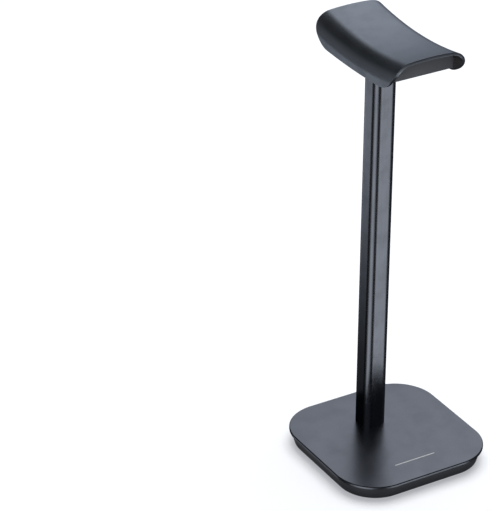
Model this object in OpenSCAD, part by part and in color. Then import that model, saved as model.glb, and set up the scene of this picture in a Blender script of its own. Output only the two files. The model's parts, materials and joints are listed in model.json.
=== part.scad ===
// Headphone stand: a square weighted base, an extruded pole and an arched saddle.
// Millimetres, +Z up. The origin is on the table under the middle of the base, and -Y is the front.

/* [Base] */
// Width and depth of the square base plate
base_w = 100; // [90:1:120]
// Radius of the base plate's corners, seen from above
base_corner_r = 26.5; // [18:0.5:34]
// Height of the base's top face above the table
base_h = 10.2; // [9.8:0.2:14]
// Thickness of the metal top plate
plate_t = 1.8; // [1.2:0.2:2.4]
// How far the top plate stands out past the top of the housing's wall
plate_overhang = 1.0; // [0.4:0.2:2]
// How far the foot of the housing's wall leans in under the plate's edge
foot_inset = 3.4; // [2:0.2:6]
// Thickness of the housing's outer wall
housing_wall = 2.2; // [1.6:0.2:3]

/* [Pole] */
// Width of the square pole
pole_w = 15.2; // [14:0.2:20]
// Radius of the pole's rounded corners
pole_corner_r = 4.4; // [2:0.1:5]
// Wall thickness of the pole
pole_wall = 1.4; // [1.2:0.1:2.2]
// How far the pole stands behind the middle of the base
pole_y = 18; // [0:1:24]

/* [Saddle] */
// Height of the saddle's crown above the table, at the middle of its dip
crown_z = 271.0; // [240:0.2:300]
// Length of the saddle from front to back
saddle_len = 84; // [70:1:100]
// How far the middle of the saddle stands behind the middle of the base
saddle_y = 10; // [4:1:16]
// Radius of the saddle's dip, seen from the side
dip_r = 226; // [180:2:400]
// Half width of the nearly flat crown
crown_half_w = 14.2; // [12:0.2:18]
// Radius of the crown across its width
crown_r = 166; // [100:2:400]
// Radius of the two shoulders
shoulder_r = 11.2; // [9:0.2:14]
// Height of the flanks from their lower edge to the crown, at the middle
flank_h = 15.2; // [13:0.2:20]
// Thickness of the saddle's skin
skin_t = 1.8; // [1.6:0.1:2.4]
// Radius of the skin's four corners, measured along the bent sheet
skin_corner_r = 13.8; // [8:0.2:16]

/* [Hidden] */
$fn = 64;
gap = 0.05;      // fitting gap between pieces that lie on each other's curved faces
tiny = 0.01;     // overrun of a cutter past the face it cuts

// Heights in the base, from the table up
mat_proud = 0.3;                        // the mat's height below the housing
mat_t = 0.8;
plate_z = base_h - plate_t;             // underside of the top plate
film_t = 0.2;                           // adhesive film
housing_top_z = plate_z - film_t;
roof_t = 1.6;                           // roof of the housing
roof_z = housing_top_z - roof_t;
cover_t = 1.8;
cover_top_z = mat_proud + cover_t;
plate_edge_chamfer = 0.4;

// Plan sizes in the base
film_inset = 6;
cover_clearance = 0.2;
cavity_w = base_w - 2 * (foot_inset + housing_wall);
cavity_corner_r = base_corner_r - foot_inset - housing_wall;
weight_clearance = 0.6;
mat_inset = 3.2;                        // from the cover's edge to the mat's edge
post_pitch = 56;                        // between the posts that hold the cover
post_r = 3.2;
post_clearance = 0.8;
pilot_r = 1.05;
pilot_depth = 5;

// Fasteners; a thread is drawn at its pitch diameter
thread_r = 1.78;
port_bore_r = 1.8;
port_r = 3.2;                           // outer radius of a screw port in the pole
port_c = 3.2;                           // offset of a screw port from the pole's middle
screw_hole_r = 2.2;
flat_head_r = 4.0;
flat_head_k = 2.2;
pan_head_r = 3.9;
pan_head_k = 2.3;
base_screw_len = 16;
saddle_screw_len = 14;
cover_screw_r = 1.3;
cover_thread_r = 1.03;
cover_head_r = 2.3;
cover_head_k = 1.2;
cover_screw_len = 5.4;
drive_w = 0.8;                          // width of a cross recess's arms

// Heights in the saddle
core_recess = 6.5;                      // from the skin's end to the core's end wall
core_bottom_z = crown_z - 9.8;
core_half_w = 19.2;
core_wall = 2.0;
rib_t = 1.4;
rib_pitch = 14;
seat_drop = 5.4;                        // washer seat below the crown
clamp_t = 2.2;                          // core wall between the washer and the pole
seat_z = crown_z - seat_drop;
pole_top_z = seat_z - clamp_t;
socket_wall = 2.6;
socket_gap = 0.1;
socket_drop = 10;                       // how far the socket reaches below the core
washer_r = 4.5;
washer_t = 0.8;
washer_bore_r = 2.15;
counterbore_r = 4.7;
peg_r = 1.9;
peg_hole_r = 2.0;
peg_head_r = 2.6;
peg_head_h = 1.2;
peg_x = 8;
peg_y = 28;
core_top_t = 2.0;                       // thickness of the core's arched top
end_rise = saddle_len * saddle_len / (8 * dip_r);
lower_edge_r = 309;                     // the flanks' lower edges dip less than the crown

// Rounded rectangle about the origin.
module rounded_square(w, r) {
    square([w, w - 2 * r], center = true);
    square([w - 2 * r, w], center = true);
    for (sx = [-1, 1], sy = [-1, 1])
        translate([sx * (w / 2 - r), sy * (w / 2 - r)])
            circle(r);
}

module rounded_slab(w, r, h) {
    linear_extrude(h)
        rounded_square(w, r);
}

// Rounded square block whose walls lean: the lower outline is w0 wide and the upper one w1.
// The corners are cones about the same four axes, so the wall leans evenly all round.
module leaning_block(w0, w1, r1, h) {
    c = w1 / 2 - r1;
    r0 = w0 / 2 - c;
    for (turn = [0, 90])
        rotate([90, 0, turn])
            translate([0, 0, -c])
                linear_extrude(2 * c)
                    polygon([[-w0 / 2, 0], [w0 / 2, 0], [w1 / 2, h], [-w1 / 2, h]]);
    for (sx = [-1, 1], sy = [-1, 1])
        translate([sx * c, sy * c, 0])
            cylinder(h = h, r1 = r0, r2 = r1);
}

module at_posts() {
    for (sx = [-1, 1], sy = [-1, 1])
        translate([sx * post_pitch / 2, sy * post_pitch / 2, 0])
            children();
}

// The two screw ports lie on one diagonal of the pole.
module at_ports() {
    for (s = [-1, 1])
        translate([s * port_c, pole_y + s * port_c, 0])
            children();
}

module port_holes(z0, z1, r = screw_hole_r) {
    at_ports()
        translate([0, 0, z0 - tiny])
            cylinder(h = z1 - z0 + 2 * tiny, r = r);
}

// Cross recess that opens downward at z = 0.
module cross_recess(arm, depth) {
    for (turn = [0, 90])
        rotate([0, 0, turn])
            translate([-arm / 2, -drive_w / 2, -tiny])
                cube([arm, drive_w, depth + tiny]);
}

// Flat-head screw that points up, its head's face at z = 0.
module flat_screw(head_r, head_k, shank_r, len, drive_depth) {
    difference() {
        union() {
            cylinder(h = head_k, r1 = head_r, r2 = head_r - head_k + tiny);
            cylinder(h = len, r = shank_r);
        }
        cross_recess(head_r * 1.1, drive_depth);
    }
}

// Pan-head screw that points down, its head's bearing face at z = 0.
module pan_screw(len) {
    dome_r = 9;
    difference() {
        union() {
            intersection() {
                cylinder(h = pan_head_k, r = pan_head_r);
                translate([0, 0, pan_head_k - dome_r])
                    sphere(dome_r, $fn = 96);
            }
            translate([0, 0, -len])
                cylinder(h = len + tiny, r = thread_r);
        }
        translate([0, 0, pan_head_k])
            mirror([0, 0, 1])
                cross_recess(pan_head_r * 1.1, 1.4);
    }
}

// Arch of the saddle's outer face as [half width, depth below the crown], from the crown's
// middle out to a flank's lower edge, moved inward by d.
crown_angle = asin(crown_half_w / crown_r);
shoulder_x = crown_half_w - shoulder_r * sin(crown_angle);
shoulder_depth = crown_r * (1 - cos(crown_angle)) + shoulder_r * cos(crown_angle);
function crown_point(a, d) = [(crown_r - d) * sin(a), crown_r - (crown_r - d) * cos(a)];
function shoulder_point(a, d) = [
    shoulder_x + (shoulder_r - d) * sin(a),
    shoulder_depth - (shoulder_r - d) * cos(a),
];
function half_arch(d, depth) = concat(
    [for (i = [0 : 3]) crown_point(crown_angle * i / 4, d)],
    [for (i = [0 : 16]) shoulder_point(crown_angle + (90 - crown_angle) * i / 16, d)],
    [[shoulder_x + shoulder_r - d, depth]]
);
function mirrored(points) = [for (i = [len(points) - 1 : -1 : 1]) [-points[i][0], points[i][1]]];
function arch(d, depth) = concat(mirrored(half_arch(d, depth)), half_arch(d, depth));
function swap(points) = [for (p = points) [p[1] + dip_r, p[0]]];

// Everything under the arch moved inward by d, swept along the dip. The sweep turns about a
// line across the stand, dip_r above the crown.
module under_arch(d, depth) {
    half_turn = asin((saddle_len / 2 + 4) / dip_r);
    translate([0, saddle_y, crown_z + dip_r])
        rotate([0, 90, 0])
            rotate([0, 0, -half_turn])
                rotate_extrude(angle = 2 * half_turn, $fn = 360)
                    polygon(swap(arch(d, depth)));
}

// Side view of the skin as [y, z]: square above, with a long arc below. Its lower corners are
// quarter circles on the flat sheet, so each point is found along the arch and then bent with it.
lower_centre_z = crown_z - flank_h + lower_edge_r;
crown_run = crown_r * crown_angle * PI / 180;
shoulder_run = shoulder_r * (90 - crown_angle) * PI / 180;
corner_y = saddle_len / 2 - skin_corner_r;
function edge_z(y) = lower_centre_z - sqrt(lower_edge_r * lower_edge_r - y * y);
function edge_depth(y) = norm([y, crown_z + dip_r - edge_z(y)]) - dip_r;
function half_run(y) = crown_run + shoulder_run + edge_depth(y) - shoulder_depth;
function bend(run) = crown_angle + (run - crown_run) / shoulder_r * 180 / PI;
function depth_at(run) =
    run > crown_run + shoulder_run ? shoulder_depth + run - crown_run - shoulder_run
    : shoulder_depth - shoulder_r * cos(bend(run));
function height_at(y, depth) = crown_z + dip_r - sqrt(pow(dip_r + depth, 2) - y * y);
function corner_at(y, inset) = [y, height_at(y, depth_at(half_run(y) - inset))];
function corner_point(a) =
    corner_at(corner_y + skin_corner_r * sin(a), skin_corner_r * (1 - cos(a)));
function half_side() = concat(
    [for (i = [0 : 11]) [corner_y * i / 12, edge_z(corner_y * i / 12)]],
    [for (i = [0 : 24]) corner_point(90 * i / 24)],
    [[saddle_len / 2, crown_z + 3 * end_rise]]
);

module side_outline(half_w) {
    translate([-half_w, saddle_y, 0])
        rotate([90, 0, 90])
            linear_extrude(2 * half_w)
                polygon(concat(mirrored(half_side()), half_side()));
}

module at_pegs() {
    for (sx = [-1, 1], sy = [-1, 1])
        translate([sx * peg_x, saddle_y + sy * peg_y, 0])
            children();
}
peg_top_z = crown_z + peg_y * peg_y / (2 * dip_r) - skin_t / 2;
peg_wall_z = crown_z + peg_y * peg_y / (2 * dip_r) - skin_t - core_top_t;

module base_top_plate() {
    color([0.20, 0.21, 0.23])
        difference() {
            union() {
                translate([0, 0, plate_z])
                    rounded_slab(base_w, base_corner_r, plate_t - plate_edge_chamfer);
                translate([0, 0, base_h - plate_edge_chamfer])
                    leaning_block(
                        base_w, base_w - 2 * plate_edge_chamfer,
                        base_corner_r - plate_edge_chamfer, plate_edge_chamfer
                    );
            }
            port_holes(plate_z, base_h);
        }
}

module plate_adhesive() {
    color([0.85, 0.85, 0.80])
        translate([0, 0, housing_top_z])
            difference() {
                rounded_slab(base_w - 2 * film_inset, base_corner_r - film_inset, film_t);
                translate([0, pole_y, -tiny])
                    cylinder(h = film_t + 2 * tiny, r = pole_w / 2);
            }
}

module base_housing() {
    color([0.07, 0.07, 0.08])
        union() {
            difference() {
                translate([0, 0, mat_proud])
                    leaning_block(
                        base_w - 2 * foot_inset, base_w - 2 * plate_overhang,
                        base_corner_r - plate_overhang, housing_top_z - mat_proud
                    );
                translate([0, 0, mat_proud - tiny])
                    rounded_slab(cavity_w, cavity_corner_r, roof_z - mat_proud + tiny);
                port_holes(roof_z, housing_top_z);
            }
            at_posts()
                difference() {
                    translate([0, 0, cover_top_z])
                        cylinder(h = roof_z - cover_top_z + tiny, r = post_r);
                    translate([0, 0, cover_top_z - tiny])
                        cylinder(h = roof_z - cover_top_z - tiny, r = pilot_r);
                }
        }
}

module weight_plate() {
    color([0.55, 0.56, 0.58])
        difference() {
            translate([0, 0, cover_top_z])
                rounded_slab(
                    cavity_w - 2 * weight_clearance, cavity_corner_r - weight_clearance,
                    roof_z - cover_top_z
                );
            at_posts()
                translate([0, 0, cover_top_z - tiny])
                    cylinder(h = roof_z - cover_top_z + 2 * tiny, r = post_r + post_clearance);
            port_holes(cover_top_z, roof_z);
            at_ports()
                translate([0, 0, cover_top_z - tiny])
                    cylinder(
                        h = flat_head_k + tiny, r1 = flat_head_r + 0.2 + tiny,
                        r2 = flat_head_r + 0.2 - flat_head_k
                    );
        }
}

module bottom_cover() {
    recess_top_z = mat_t;
    color([0.09, 0.09, 0.10])
        difference() {
            translate([0, 0, mat_proud])
                rounded_slab(
                    cavity_w - 2 * cover_clearance, cavity_corner_r - cover_clearance, cover_t
                );
            translate([0, 0, mat_proud - tiny])
                rounded_slab(
                    cavity_w - 2 * mat_inset + 0.4, cavity_corner_r - mat_inset + 0.2,
                    recess_top_z - mat_proud + tiny
                );
            at_posts() {
                translate([0, 0, recess_top_z - tiny])
                    cylinder(
                        h = cover_head_k + tiny, r1 = cover_head_r + 0.1 + tiny,
                        r2 = cover_head_r + 0.1 - cover_head_k
                    );
                translate([0, 0, recess_top_z])
                    cylinder(h = cover_t, r = cover_screw_r + 0.2);
            }
        }
}

module cover_screws() {
    color([0.30, 0.30, 0.32])
        at_posts()
            translate([0, 0, mat_t])
                flat_screw(
                    cover_head_r, cover_head_k, cover_thread_r,
                    roof_z - mat_t - 0.4, 0.8
                );
}

module antislip_mat() {
    color([0.05, 0.05, 0.05])
        rounded_slab(cavity_w - 2 * mat_inset, cavity_corner_r - mat_inset, mat_t);
}

module pole_section() {
    inner_w = pole_w - 2 * pole_wall;
    difference() {
        union() {
            difference() {
                rounded_square(pole_w, pole_corner_r);
                rounded_square(inner_w, pole_corner_r - pole_wall);
            }
            for (s = [-1, 1])
                translate([s * port_c, s * port_c])
                    circle(port_r);
        }
        for (s = [-1, 1])
            translate([s * port_c, s * port_c])
                circle(port_bore_r);
    }
}

module pole() {
    color([0.17, 0.18, 0.20])
        translate([0, pole_y, base_h])
            linear_extrude(pole_top_z - base_h)
                pole_section();
}

module pole_base_screws() {
    color([0.35, 0.35, 0.37])
        at_ports()
            translate([0, 0, cover_top_z])
                flat_screw(flat_head_r, flat_head_k, thread_r, base_screw_len, 1.3);
}

// Pockets between the ribs, open at the underside.
module core_pockets() {
    half_len = saddle_len / 2 - core_recess - core_wall;
    half_w = core_half_w - core_wall;
    cells = ceil(half_len / rib_pitch);
    intersection() {
        under_arch(skin_t + gap + core_top_t, flank_h + 8);
        union() {
            for (i = [-cells : cells - 1], side = [-1, 1]) {
                y0 = max(i * rib_pitch + rib_t / 2, -half_len);
                y1 = min((i + 1) * rib_pitch - rib_t / 2, half_len);
                if (y1 - y0 > 2)
                    translate([side > 0 ? rib_t / 2 : -half_w, saddle_y + y0, core_bottom_z - 1])
                        cube([half_w - rib_t / 2, y1 - y0, crown_z - core_bottom_z + 8]);
            }
        }
    }
}

module saddle_core() {
    half_len = saddle_len / 2 - core_recess;
    block_w = pole_w + 2 * (socket_gap + socket_wall);
    block_r = pole_corner_r + socket_wall;
    color([0.08, 0.08, 0.09])
        difference() {
            intersection() {
                under_arch(skin_t + gap, flank_h + 8);
                union() {
                    difference() {
                        translate([-core_half_w, saddle_y - half_len, core_bottom_z])
                            cube([2 * core_half_w, 2 * half_len, 20]);
                        core_pockets();
                    }
                    translate([0, pole_y, core_bottom_z])
                        rounded_slab(block_w, block_r, 20);
                }
            }
            port_holes(pole_top_z - 1, crown_z);
            port_holes(seat_z, crown_z, counterbore_r);
            at_pegs()
                translate([0, 0, core_bottom_z])
                    cylinder(h = 20, r = peg_hole_r);
            socket_cut();
        }
    color([0.08, 0.08, 0.09])
        difference() {
            translate([0, pole_y, core_bottom_z - socket_drop])
                rounded_slab(block_w, block_r, socket_drop);
            socket_cut();
        }
}

module socket_cut() {
    translate([0, pole_y, core_bottom_z - socket_drop - tiny])
        rounded_slab(
            pole_w + 2 * socket_gap, pole_corner_r + socket_gap,
            pole_top_z - core_bottom_z + socket_drop + tiny
        );
}

module saddle_screws() {
    color([0.35, 0.35, 0.37])
        at_ports()
            translate([0, 0, seat_z + washer_t])
                pan_screw(saddle_screw_len);
}

module saddle_washers() {
    color([0.60, 0.60, 0.62])
        at_ports()
            translate([0, 0, seat_z])
                difference() {
                    cylinder(h = washer_t, r = washer_r);
                    translate([0, 0, -tiny])
                        cylinder(h = washer_t + 2 * tiny, r = washer_bore_r);
                }
}

module saddle_skin() {
    color([0.16, 0.17, 0.18])
        union() {
            intersection() {
                difference() {
                    under_arch(0, flank_h + 6);
                    under_arch(skin_t, flank_h + 8);
                }
                side_outline(40);
            }
            at_pegs() {
                translate([0, 0, peg_wall_z - peg_head_h])
                    cylinder(h = peg_top_z - peg_wall_z + peg_head_h, r = peg_r);
                translate([0, 0, peg_wall_z - 2 * peg_head_h])
                    cylinder(h = peg_head_h, r1 = peg_r, r2 = peg_head_r);
            }
        }
}

base_top_plate();
plate_adhesive();
base_housing();
weight_plate();
bottom_cover();
cover_screws();
antislip_mat();
pole();
pole_base_screws();
saddle_core();
saddle_screws();
saddle_washers();
saddle_skin();
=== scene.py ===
"""Visual model of a headphone stand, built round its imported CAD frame.

The stand has a weighted square base, a square extruded pole and an arched saddle. Each
sub-assembly is a class that holds its sizes and builds, shapes and dresses its own pieces. All
lengths are in metres and in the CAD frame: +Z up, -Y the front, the origin on the table.
"""

from __future__ import annotations

import json
import logging
import math
from dataclasses import dataclass, field
from enum import Enum
from typing import Any, Callable, Iterator, Mapping, Optional, Sequence, Union

import bmesh
import bpy
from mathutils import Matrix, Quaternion, Vector


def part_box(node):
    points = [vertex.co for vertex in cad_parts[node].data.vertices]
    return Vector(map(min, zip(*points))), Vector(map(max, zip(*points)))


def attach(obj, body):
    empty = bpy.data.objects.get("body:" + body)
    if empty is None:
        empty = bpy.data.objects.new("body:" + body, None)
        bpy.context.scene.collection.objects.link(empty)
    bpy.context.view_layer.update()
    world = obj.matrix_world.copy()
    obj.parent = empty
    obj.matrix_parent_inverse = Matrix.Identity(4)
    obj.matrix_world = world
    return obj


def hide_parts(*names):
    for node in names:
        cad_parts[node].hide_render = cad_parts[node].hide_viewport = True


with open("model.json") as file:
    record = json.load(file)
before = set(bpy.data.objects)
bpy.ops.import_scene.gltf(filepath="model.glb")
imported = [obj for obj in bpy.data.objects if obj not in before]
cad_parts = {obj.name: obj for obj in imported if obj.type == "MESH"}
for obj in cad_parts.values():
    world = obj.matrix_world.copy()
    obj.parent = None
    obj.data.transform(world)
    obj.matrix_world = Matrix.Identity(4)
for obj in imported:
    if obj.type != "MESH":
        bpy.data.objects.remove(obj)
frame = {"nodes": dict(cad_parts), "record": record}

LOG = logging.getLogger("headphone_stand")
MM = 0.001
ROOT_BODY = "root"
WELD = 1e-6

Number = Union[int, float]
Colour = tuple[float, float, float]
Point2 = tuple[float, float]
Point3 = tuple[float, float, float]
Socket = bpy.types.NodeSocket
Piece = bpy.types.Object
Finish = bpy.types.Material


# Node trees written as expressions


def paired(operation: str, flipped: bool = False) -> Callable[["Signal", "Value"], "Signal"]:
    """Makes a method that works on a signal and another value.

    Args:
        operation: The Math node's operation.
        flipped: True puts the other value first, as in 1 - mask.

    Returns:
        The method.
    """

    def method(self: "Signal", other: "Value") -> "Signal":
        """Adds the Math node."""
        return self.sheet.math(operation, *((other, self) if flipped else (self, other)))

    return method


def single(operation: str) -> Callable[["Signal"], "Signal"]:
    """Makes a method that works on a signal alone, with a Math node's operation."""

    def method(self: "Signal") -> "Signal":
        """Adds the Math node."""
        return self.sheet.math(operation, self)

    return method


class Signal:
    """A number worked out by a node tree, written with Python's own operators."""

    def __init__(self, sheet: "NodeSheet", socket: Socket) -> None:
        """Wraps one output socket of a node on a sheet."""
        self.sheet = sheet
        self.socket = socket

    __add__, __radd__ = paired("ADD"), paired("ADD", flipped=True)
    __sub__, __rsub__ = paired("SUBTRACT"), paired("SUBTRACT", flipped=True)
    __mul__, __rmul__ = paired("MULTIPLY"), paired("MULTIPLY", flipped=True)
    __truediv__, __rtruediv__ = paired("DIVIDE"), paired("DIVIDE", flipped=True)
    power, over = paired("POWER"), paired("GREATER_THAN")
    at_most, at_least = paired("MINIMUM"), paired("MAXIMUM")
    size, sign, root = single("ABSOLUTE"), single("SIGN"), single("SQRT")
    sine, cosine, arc_sine = single("SINE"), single("COSINE"), single("ARCSINE")

    def squared(self) -> "Signal":
        """The value times itself."""
        return self * self

    def ramp(self, low: float, high: float, at_low: float = 0.0, at_high: float = 1.0) -> "Signal":
        """Eases between two levels.

        Args:
            low: Value at which the result is at_low.
            high: Value at which the result is at_high.
            at_low: Level below low.
            at_high: Level above high.

        Returns:
            The eased level.
        """
        level = self.sheet.out(
            "ShaderNodeMapRange",
            {"interpolation_type": "SMOOTHSTEP"},
            {"Value": self, 1: low, 2: high, 3: at_low, 4: at_high},
        )
        return Signal(self.sheet, level)


Value = Union[Signal, Number]
Input = Union[Signal, Socket, Number, Sequence[float], Any]


class NodeSheet:
    """A node tree, with one method that adds any node."""

    def __init__(self, tree: bpy.types.NodeTree) -> None:
        """Takes a tree and empties it."""
        self.tree = tree
        self.tree.nodes.clear()

    def node(
        self,
        kind: str,
        settings: Optional[Mapping[str, Any]] = None,
        sockets: Optional[Mapping[Union[str, int], Input]] = None,
    ) -> bpy.types.Node:
        """Adds a node, sets its own settings and then its sockets.

        Args:
            kind: The node's type name.
            settings: Properties of the node.
            sockets: Values or links, by a socket's identifier, name or number.

        Returns:
            The new node.
        """
        node = self.tree.nodes.new(kind)
        for name, value in (settings or {}).items():
            setattr(node, name, value)
        for key, value in (sockets or {}).items():
            self.feed(self._socket(node, key), value)
        return node

    def out(self, kind: str, *choices: Mapping, **named: Mapping) -> Socket:
        """Adds a node in the same way, and gives its first output."""
        return self.node(kind, *choices, **named).outputs[0]

    @staticmethod
    def _socket(node: bpy.types.Node, key: Union[str, int]) -> Socket:
        """Finds an input by number, identifier or name."""
        if isinstance(key, int):
            return node.inputs[key]
        for socket in node.inputs:
            if socket.identifier == key:
                return socket
        return node.inputs[key]

    def feed(self, socket: Socket, value: Input) -> None:
        """Links a signal or an output to a socket, or stores a plain value on it."""
        if isinstance(value, Signal):
            self.tree.links.new(value.socket, socket)
        elif isinstance(value, Socket):
            self.tree.links.new(value, socket)
        else:
            socket.default_value = value

    def math(self, operation: str, *values: Value) -> Signal:
        """Adds one Math node.

        Args:
            operation: The Math node's operation.
            *values: One to three values.

        Returns:
            Its result.
        """
        numbers = dict(enumerate(values))
        return Signal(self, self.out("ShaderNodeMath", {"operation": operation}, numbers))

    def parts(self, vector: Socket) -> tuple[Signal, Signal, Signal]:
        """Splits a vector into its three numbers."""
        node = self.node("ShaderNodeSeparateXYZ", sockets={0: vector})
        return tuple(Signal(self, socket) for socket in node.outputs)

    def vector(self, x: Value, y: Value, z: Value) -> Socket:
        """Joins three numbers into a vector."""
        return self.node("ShaderNodeCombineXYZ", sockets={0: x, 1: y, 2: z}).outputs[0]


class FinishSheet(NodeSheet):
    """The shader tree of one finish, read in the piece's own coordinates."""

    def __init__(self, name: str) -> None:
        """Makes a material and its coordinates."""
        self.material = bpy.data.materials.new(name)
        self.material.use_nodes = True
        super().__init__(self.material.node_tree)
        self.place = self.node("ShaderNodeTexCoord").outputs["Object"]

    def stretched(self, scale: Sequence[float]) -> Socket:
        """The coordinates, multiplied along each axis."""
        return self.out("ShaderNodeMapping", sockets={"Vector": self.place, "Scale": scale})

    def noise(
        self, size: float, detail: float = 2.0, stretch: Sequence[float] = (1.0, 1.0, 1.0)
    ) -> Signal:
        """Soft noise about one half.

        Args:
            size: Size of its grains, in metres.
            detail: Number of finer layers.
            stretch: How much finer it is along each axis.

        Returns:
            The noise, from 0 to 1.
        """
        value = self.out(
            "ShaderNodeTexNoise",
            sockets={
                "Vector": self.stretched(stretch),
                "Scale": 1.0 / size,
                "Detail": detail,
                "Roughness": 0.55,
            },
        )
        return Signal(self, value)

    def cells(self, size: float) -> Signal:
        """Distance to the nearest of scattered points that lie about one size apart."""
        sockets = {"Vector": self.place, "Scale": 1.0 / size}
        return Signal(self, self.out("ShaderNodeTexVoronoi", {"feature": "F1"}, sockets))

    def blend(self, mask: Value, low: Input, high: Input) -> Socket:
        """Mixes two colours by a mask."""
        node = self.node(
            "ShaderNodeMix",
            {"data_type": "RGBA"},
            {
                "Factor_Float": mask,
                "A_Color": (*low, 1.0) if isinstance(low, tuple) else low,
                "B_Color": (*high, 1.0) if isinstance(high, tuple) else high,
            },
        )
        return next(s for s in node.outputs if s.identifier == "Result_Color")

    def bump(self, height: Signal, depth: float, strength: float) -> Socket:
        """Turns a height signal into a shading normal.

        Args:
            height: Relief, from 0 to 1.
            depth: Depth of the relief in metres.
            strength: How strongly it shows.

        Returns:
            The normal.
        """
        return self.out(
            "ShaderNodeBump", sockets={"Height": height, "Distance": depth, "Strength": strength}
        )

    def mixed(self, factor: Input, low: Socket, high: Socket) -> Socket:
        """Mixes two shaders."""
        return self.out("ShaderNodeMixShader", sockets={0: factor, 1: low, 2: high})

    def show(self, shader: Socket) -> Finish:
        """Ends the tree with a shader and gives the finished material."""
        self.node("ShaderNodeOutputMaterial", sockets={"Surface": shader})
        return self.material

    def surface(self, **sockets: Input) -> Finish:
        """Ends the tree with the shader that every finish uses.

        Args:
            **sockets: The shader's inputs, with underscores for spaces.

        Returns:
            The finished material.
        """
        named = {key.replace("_", " "): value for key, value in sockets.items()}
        return self.show(self.out("ShaderNodeBsdfPrincipled", sockets=named))


class ShapeSheet(NodeSheet):
    """A geometry tree with named sizes, turned into a plain mesh when it is complete."""

    def __init__(self, name: str, sizes: Mapping[str, Number]) -> None:
        """Makes the tree and one named input for each size."""
        tree = bpy.data.node_groups.new(name, "GeometryNodeTree")
        super().__init__(tree)
        self.name = name
        self.values = dict(sizes)
        tree.interface.new_socket("Mesh", in_out="OUTPUT", socket_type="NodeSocketGeometry")
        for label, value in sizes.items():
            kind = "NodeSocketInt" if isinstance(value, int) else "NodeSocketFloat"
            tree.interface.new_socket(label, in_out="INPUT", socket_type=kind)
        self.inputs = self.node("NodeGroupInput")

    def size(self, label: str) -> Signal:
        """One of the named sizes."""
        return Signal(self, self.inputs.outputs[label])

    def move(self, mesh: Socket, offset: Sequence[float], turn: float = 0.0) -> Socket:
        """Shifts a mesh and turns it about its own X axis."""
        return self.out(
            "GeometryNodeTransform",
            sockets={"Geometry": mesh, "Translation": offset, "Rotation": (turn, 0.0, 0.0)},
        )

    def join(self, *meshes: Socket) -> Socket:
        """Joins meshes into one."""
        node = self.node("GeometryNodeJoinGeometry")
        for mesh in meshes:
            self.tree.links.new(mesh, node.inputs[0])
        return node.outputs[0]

    def copies(self, mesh: Socket, places: Socket) -> Socket:
        """Puts one copy of a mesh at each point."""
        return self.out(
            "GeometryNodeInstanceOnPoints", sockets={"Points": places, "Instance": mesh}
        )

    def cut(self, blank: Socket, tools: Sequence[Socket]) -> Socket:
        """Cuts tools out of a blank."""
        node = self.node("GeometryNodeMeshBoolean", {"operation": "DIFFERENCE"})
        self.tree.links.new(blank, node.inputs[0])
        for tool in tools:
            self.tree.links.new(tool, node.inputs[1])
        return node.outputs[0]

    def grid(self, size_x: Value, size_y: Value, count_x: Value, count_y: Value) -> Socket:
        """A flat grid of points about the origin."""
        return self.out(
            "GeometryNodeMeshGrid",
            sockets={
                "Size X": size_x, "Size Y": size_y, "Vertices X": count_x, "Vertices Y": count_y
            },
        )

    def cylinder(self, sides: int, radius: Value, depth: Value) -> Socket:
        """A closed upright cylinder about the origin."""
        return self.out(
            "GeometryNodeMeshCylinder",
            sockets={"Vertices": sides, "Radius": radius, "Depth": depth},
        )

    def circle(self, facets: int, radius: Value) -> Socket:
        """A circle as a curve."""
        return self.out(
            "GeometryNodeCurvePrimitiveCircle", sockets={"Resolution": facets, "Radius": radius}
        )

    def realise(self, mesh: Socket, material: Finish) -> Piece:
        """Ends the tree, runs it once and keeps its result as a plain mesh.

        Args:
            mesh: The tree's last geometry.
            material: The finish of every face.

        Returns:
            An object with no modifier.
        """
        real = self.out("GeometryNodeRealizeInstances", sockets={"Geometry": mesh})
        dressed = self.out(
            "GeometryNodeSetMaterial", sockets={"Geometry": real, "Material": material}
        )
        self.node("NodeGroupOutput", sockets={0: dressed})
        piece = bpy.data.objects.new(self.name, bpy.data.meshes.new(self.name))
        bpy.context.scene.collection.objects.link(piece)
        modifier = piece.modifiers.new("shape", "NODES")
        modifier.node_group = self.tree
        for item in self.tree.interface.items_tree:
            if item.in_out == "INPUT":
                modifier[item.identifier] = self.values[item.name]
        bake(piece)
        return piece


# Meshes


def bake(piece: Piece) -> None:
    """Keeps a piece's evaluated mesh and removes its modifiers."""
    bpy.context.view_layer.update()
    graph = bpy.context.evaluated_depsgraph_get()
    mesh = bpy.data.meshes.new_from_object(piece.evaluated_get(graph))
    piece.modifiers.clear()
    piece.data = mesh
    mesh.name = piece.name


def smooth(piece: Piece, angle: float = 32.0) -> None:
    """Shades a piece smooth, with its sharper edges kept."""
    piece.data.shade_smooth()
    piece.data.set_sharp_from_angle(angle=math.radians(angle))


def add_piece(name: str, shape: bmesh.types.BMesh, material: Finish) -> Piece:
    """Turns a bmesh into an object of the scene.

    Args:
        name: The piece's name.
        shape: Its mesh, which is freed.
        material: Its finish.

    Returns:
        The new object, at the origin.
    """
    mesh = bpy.data.meshes.new(name)
    shape.to_mesh(mesh)
    shape.free()
    mesh.materials.append(material)
    piece = bpy.data.objects.new(name, mesh)
    bpy.context.scene.collection.objects.link(piece)
    return piece


def place(piece: Piece, slot: str, *nodes: str) -> Piece:
    """Ties a piece to the frame.

    Args:
        piece: A finished piece.
        slot: The record's material slot; not used.
        *nodes: CAD nodes that it stands for.

    Returns:
        The same piece.
    """
    if nodes:
        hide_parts(*nodes)
    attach(piece, ROOT_BODY)
    return piece


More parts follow.
